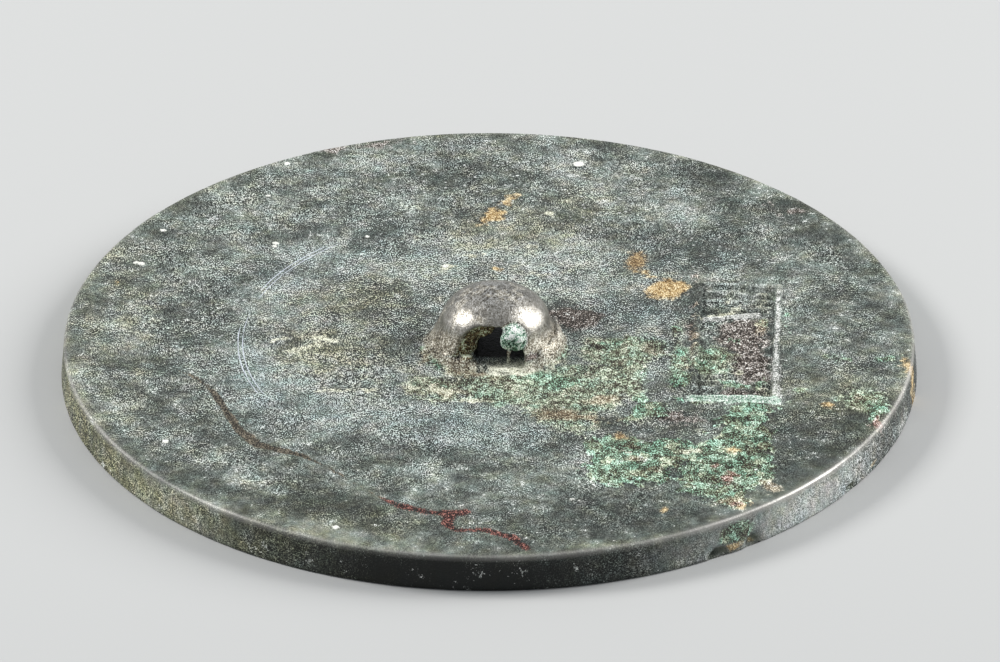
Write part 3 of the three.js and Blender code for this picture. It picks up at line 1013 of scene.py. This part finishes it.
LUMPS = [
    (0, (0.006, 0.018, 0.01)), (0.32, (0.08, 0.18, 0.11)), (0.6, (0.4, 0.64, 0.48)), (0.88, (1, 1, 0.96)),
]
CHEEK_COLOURS = [
    (0, (0.01, 0.006, 0.003)), (0.35, (0.11, 0.068, 0.03)), (0.6, (0.4, 0.29, 0.15)),
    (0.8, (0.46, 0.62, 0.38)), (1, (1, 1, 0.8)),
]
JAMB_COLOURS = [(0, (0.01, 0.006, 0.005)), (0.5, (0.25, 0.18, 0.155)), (1, (1, 0.9, 0.84))]
KNOB_METALS = [(0, (0.06, 0.05, 0.038)), (0.5, (0.34, 0.322, 0.285)), (1, (0.68, 0.665, 0.64))]
RUSTS = [(0, (0.02, 0.014, 0.008)), (0.5, (0.31, 0.265, 0.185)), (0.9, (0.98, 0.94, 0.82))]


def patinated_bronze():
    material = bpy.data.materials.new("patinated_bronze")
    material.use_nodes = True
    t = Tree(material)
    field = t.field
    fine = t.noise(0.17, 1.0, 0.6, (1.0, 0.62, 1.0))
    grain = t.noise(0.62, 2.0, 0.7, (1.0, 0.75, 1.0))
    mottle = t.noise(2.0, 4.0, 0.66)
    film = t.noise(6.5, 5.0, 0.64)
    cloud = t.noise(13.0, 2.0, 0.5)
    hues = t.noise(2.6, 3.0, 0.62, shift=0.31)
    pinks = t.noise(2.2, 3.0, 0.62, shift=0.57)
    wall, panel, shade, crown = field("wall"), field("panel"), field("tone"), field("crown")
    frayed = mottle * 0.8 + grain * 0.4 + fine * 0.3
    speckle = 0.5 + mottle * 0.24 + grain * 0.34 + fine * 0.82

    def layer(under, stops, mask, value=speckle):
        return t.mix(mask, under, t.ramp(value, stops))

    def mask(name, softness, share, fray=1.0, start=0.0):
        return t.step(field(name) + frayed * fray, start, start + softness, 0.0, share)

    # Bare patina: light and dark films with fine grain, tinted, with a painted shadow beside the knob's
    # left foot, painted light and shade on the rim's wall, and white dots that are partly dust and partly
    # painted glints
    bare = 1.0 - wall * 0.75
    filmed = t.step(shade + film * 0.55 + mottle * 0.35, -0.5, 0.55, -0.15, 0.16)
    patchy = t.step(t.noise(5.0, 2.0, 0.5, shift=0.83), -0.35, 0.45, 0.6, 1.25)
    gritty = (grain * 0.26 + fine * 1.05) * field("grit") * patchy
    brushed = t.noise(0.5, 2.0, 0.6, (1.0, 1.0, 0.15)) * wall * 0.12
    tone = 0.428 + filmed * bare + cloud * 0.05 + mottle * 0.15 * bare + gritty + brushed
    # Painted light and shade on the rim's wall, and the paler lip by the edge
    tone += field("wall_painted_light_and_shade") * 0.28 + field("lip") * 0.06
    tone += t.step(panel + mottle * 0.06, 0.02, 0.20, 0.0, 0.20)
    tone += t.step(panel, -0.22, -0.02, -0.04, 0.0)
    warmth = 0.5 + field("tint") * 0.3 + hues * 0.34 + field("lip") * 0.12 + field("warm_wall") * 0.42
    blush = 0.5 + pinks * 0.38 + field("right_wall") * 0.22
    colour = t.mix(1.0, t.ramp(tone, PATINA), t.ramp(warmth, WARMTH), "MULTIPLY")
    colour = t.mix(1.0, colour, t.ramp(blush, BLUSH), "MULTIPLY")
    # White dots, partly dust and partly painted glints.
    spots = t.out(t.cells(1.0, t.place), "Distance")
    flecks_and_painted_glints = t.step(spots + mottle * 0.2, 0.08, 0.2, 1.0, 0.0)
    colour = t.mix(flecks_and_painted_glints * (field("flecks_and_painted_glints") * 0.7), colour, (0.80, 0.82, 0.78))

    # Crusts: clumps of their own colour with light strings between them
    bent = t.warped(0.9, 1.1)
    clump = t.nodes.new("ShaderNodeSeparateColor")
    t.feed(clump.inputs, t.out(t.cells(1.25, bent), "Color"))
    clumps, clump_hue = t.out(clump, 0) - 0.5, t.out(clump, 1)
    strings = t.step(t.edges(1.5, bent), 0.015, 0.085, 1.0, 0.0)
    strung = strings * t.step(t.noise(3.0, 2.0, 0.5, shift=0.19), -0.25, 0.35)
    crust_value = -0.08 + speckle + shade * 0.2 + clumps * 0.44 + strung * 0.22 + film * 0.14
    crust_tint = 0.08 + clump_hue * 0.56 + hues * 0.30
    crust = t.mix(1.0, t.ramp(crust_value, CRUST_COLOURS), t.ramp(crust_tint, CRUST_TINTS), "MULTIPLY")
    stain_value = -0.08 + speckle + clumps * 0.30 + strung * 0.16 + film * 0.26
    stain_tint = 0.40 + clump_hue * 0.40 + hues * 0.36
    stain = t.mix(1.0, t.ramp(stain_value, CRUST_COLOURS), t.ramp(stain_tint, CRUST_TINTS), "MULTIPLY")

    brown = mask("brown", 1.2, 0.92, 1.3)
    colour = layer(colour, BROWNS, brown, speckle + shade * 0.12)
    band = mask("band", 1.6, 0.82, 1.4)
    colour = t.mix(band, colour, stain)
    green = mask("green", 0.6, 0.95, 1.2, 0.1)
    colour = t.mix(green, colour, crust)
    colour = layer(colour, TANS, mask("tan", 1.4, 0.75, 1.3), -0.03 + speckle + clumps * 0.3)
    colour = layer(colour, WHITES, mask("pale", 0.45, 0.9, 0.8, 0.30), 0.06 + speckle)
    colour = layer(colour, MINTS, mask("mint", 0.45, 0.9, 0.8, 0.30), 0.06 + speckle)
    colour = layer(colour, CREAMS, mask("cream", 0.8, 0.85))
    # Cream crust before the hole, brightened to make up for the dome's shade: painted light.
    colour = layer(colour, CREAMS, mask("mouth_floor_cream_and_painted_light", 1.2, 0.9), 0.28 + speckle)
    ochre = mask("ochre", 1.1, 0.9)
    colour = layer(colour, OCHRES, ochre)
    colour = layer(colour, DARK_OCHRES, mask("dark_ochre", 1.1, 0.9))
    colour = layer(colour, COPPERS, mask("copper", 0.8, 0.9, 1.0, 0.1))
    colour = layer(colour, STREAKS, mask("streak", 0.3, 0.95, 0.55))
    colour = layer(colour, REDS, mask("red", 0.4, 0.95, 0.7, 0.05), -0.06 + speckle)
    colour = t.mix(mask("wall_green", 0.45, 0.85, 0.5, 0.35), colour, crust)
    colour = layer(colour, OCHRES, mask("wall_ochre", 0.45, 0.8, 0.4, 0.35))
    arcs = t.rings(*ARC_CENTRE, 0.32) * t.step(field("arcs"), 0.0, 1.5)
    colour = t.mix(t.step(arcs, 0.60, 0.70, 0.0, 0.75), colour, (0.72, 0.76, 0.84))

    # The knob: crusts in its hole, rubbed metal with scratches outside, rust at its foot painted lighter
    # on the right, and painted shade inside the hole
    cheek = t.ramp(-0.02 + speckle + clumps * 0.5 + grain * 0.2, CHEEK_COLOURS)
    jamb = t.ramp(speckle + grain * 0.2, JAMB_COLOURS)
    colour = t.mix(field("hollow"), colour, t.mix(field("right"), cheek, jamb))
    metal = t.step(field("metal") + grain * 0.2 + fine * 0.1, 0.35, 0.75)
    scratches = t.step(t.rings(*SCRATCH_CENTRE, 0.22), 0.62, 0.74, 0.0, 0.35)
    scratched = scratches * t.step(t.noise(3.0, 2.0, 0.6, shift=0.44), -0.1, 0.4)
    crowned = strings * crown * 0.3 + (fine + grain * 0.4) * (crown * 0.4)
    metal_value = 0.44 + mottle * 0.14 + fine * 0.26 + grain * 0.16 + scratched + crowned
    colour = layer(colour, KNOB_METALS, metal, metal_value)
    stained = t.step(film + mottle + crown * 0.25, 0.2, 0.6, 0.0, 0.5)
    rust = t.greatest(metal * t.greatest(field("foot") * 0.85, stained), field("skirt") * 0.8)
    # The rust is painted lighter on the knob's right side, where the right softbox lights it: painted
    # light.
    colour = layer(colour, RUSTS, rust, -0.05 + speckle + field("right") * 0.12)
    # Near black inside the cord hole: painted shade.
    colour = t.mix(field("deep"), colour, (0.012, 0.010, 0.007))
    lump_value = 0.08 + speckle + clumps * 0.7 + grain * 0.5
    colour = layer(colour, LUMPS, mask("lump", 0.5, 1.0, 0.3), lump_value)
    # Rubbed metal on the rim's edge, partly real wear and partly painted highlight.
    worn = field("worn_edge_and_painted_highlight") * t.step(cloud, -0.5, 0.3, 0.5, 1.0)
    colour = t.mix(worn, colour, (0.58, 0.55, 0.52))
    colour = t.mix(mask("speck", 0.25, 1.0, 0.3), colour, (0.85, 0.85, 0.78))

    crusted = t.greatest(green, brown, band, ochre)
    dull = 0.56 + crusted * 0.3 + grain * 0.1
    bright = t.greatest(metal * t.step(rust, 0.0, 1.0, 1.0, 0.45), worn * 0.8)
    polish = 0.36 + grain * 0.06 + fine * 0.04 + rust * 0.15
    bump = t.add("ShaderNodeBump", Strength=1.0, Distance=0.06 * MM)
    roughened = (fine + grain) * (field("grit") * t.step(metal, 0.0, 1.0, 1.0, 0.1))
    t.feed([bump.inputs["Height"]], roughened)
    inputs = t.nodes["Principled BSDF"].inputs
    t.feed([inputs["Base Color"], inputs["Roughness"]], colour, t.blend(bright, dull, polish))
    t.feed([inputs["Metallic"], inputs["Normal"]], bright * 0.85, t.out(bump))
    inputs["Specular IOR Level"].default_value = 0.3
    return material


# ---- stage


def floor():
    data = bpy.data.meshes.new("floor")
    half = 3.0
    corners = [(-half, -half, 0), (half, -half, 0), (half, half, 0), (-half, half, 0)]
    data.from_pydata(corners, [], [(0, 1, 2, 3)])
    made = bpy.data.objects.new("floor", data)
    bpy.context.scene.collection.objects.link(made)
    material = bpy.data.materials.new("floor")
    material.use_nodes = True
    shader = material.node_tree.nodes["Principled BSDF"]
    shader.inputs["Base Color"].default_value = (0.50, 0.50, 0.49, 1)
    shader.inputs["Roughness"].default_value = 0.9
    data.materials.append(material)


def softbox(name, place, size, watts, aim):
    light = bpy.data.lights.new(name, "AREA")
    light.shape = "RECTANGLE"
    light.size, light.size_y = size
    light.energy = watts
    made = bpy.data.objects.new(name, light)
    made.location = place
    made.rotation_euler = (aim - Vector(place)).to_track_quat("-Z", "Y").to_euler()
    made.visible_camera = False
    bpy.context.scene.collection.objects.link(made)


def studio():
    centre = Vector((0, 0, FACE * MM))
    softbox("left_softbox", (-0.66, 0.15, 0.56), (0.28, 0.30), 6.0, centre)
    softbox("right_softbox", (0.72, 0.21, 0.48), (0.32, 0.60), 8.0, centre)
    world = bpy.data.worlds.new("studio")
    world.use_nodes = True
    sky = world.node_tree.nodes["Background"]
    sky.inputs["Color"].default_value = (0.9, 0.95, 1.0, 1)
    sky.inputs["Strength"].default_value = 0.45
    bpy.context.scene.world = world
    bpy.context.scene.view_settings.view_transform = "Standard"


def camera():
    """The photograph's view: from the front, about 30 degrees above the table, through a long lens."""
    aim = Vector((1.46, 0.21, FACE + 0.37)) * MM
    elevation, distance = math.radians(29.86), 1.0732
    data = bpy.data.cameras.new("camera")
    data.lens = 288
    data.sensor_width = 36
    made = bpy.data.objects.new("camera", data)
    back = Vector((0, -math.cos(elevation), math.sin(elevation)))
    made.location = aim + back * distance
    made.rotation_euler = (-back).to_track_quat("-Z", "Y").to_euler()
    bpy.context.scene.collection.objects.link(made)
    bpy.context.scene.camera = made


camera()
studio()
floor()
mirror = casting()
store_fields(mirror)
lay_out(mirror)
mirror.data.materials.clear()
mirror.data.materials.append(patinated_bronze())
mirror.data.polygons.foreach_set("material_index", [0] * len(mirror.data.polygons))
mirror.data.shade_smooth()
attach(mirror, "root")
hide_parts("round_mirror")
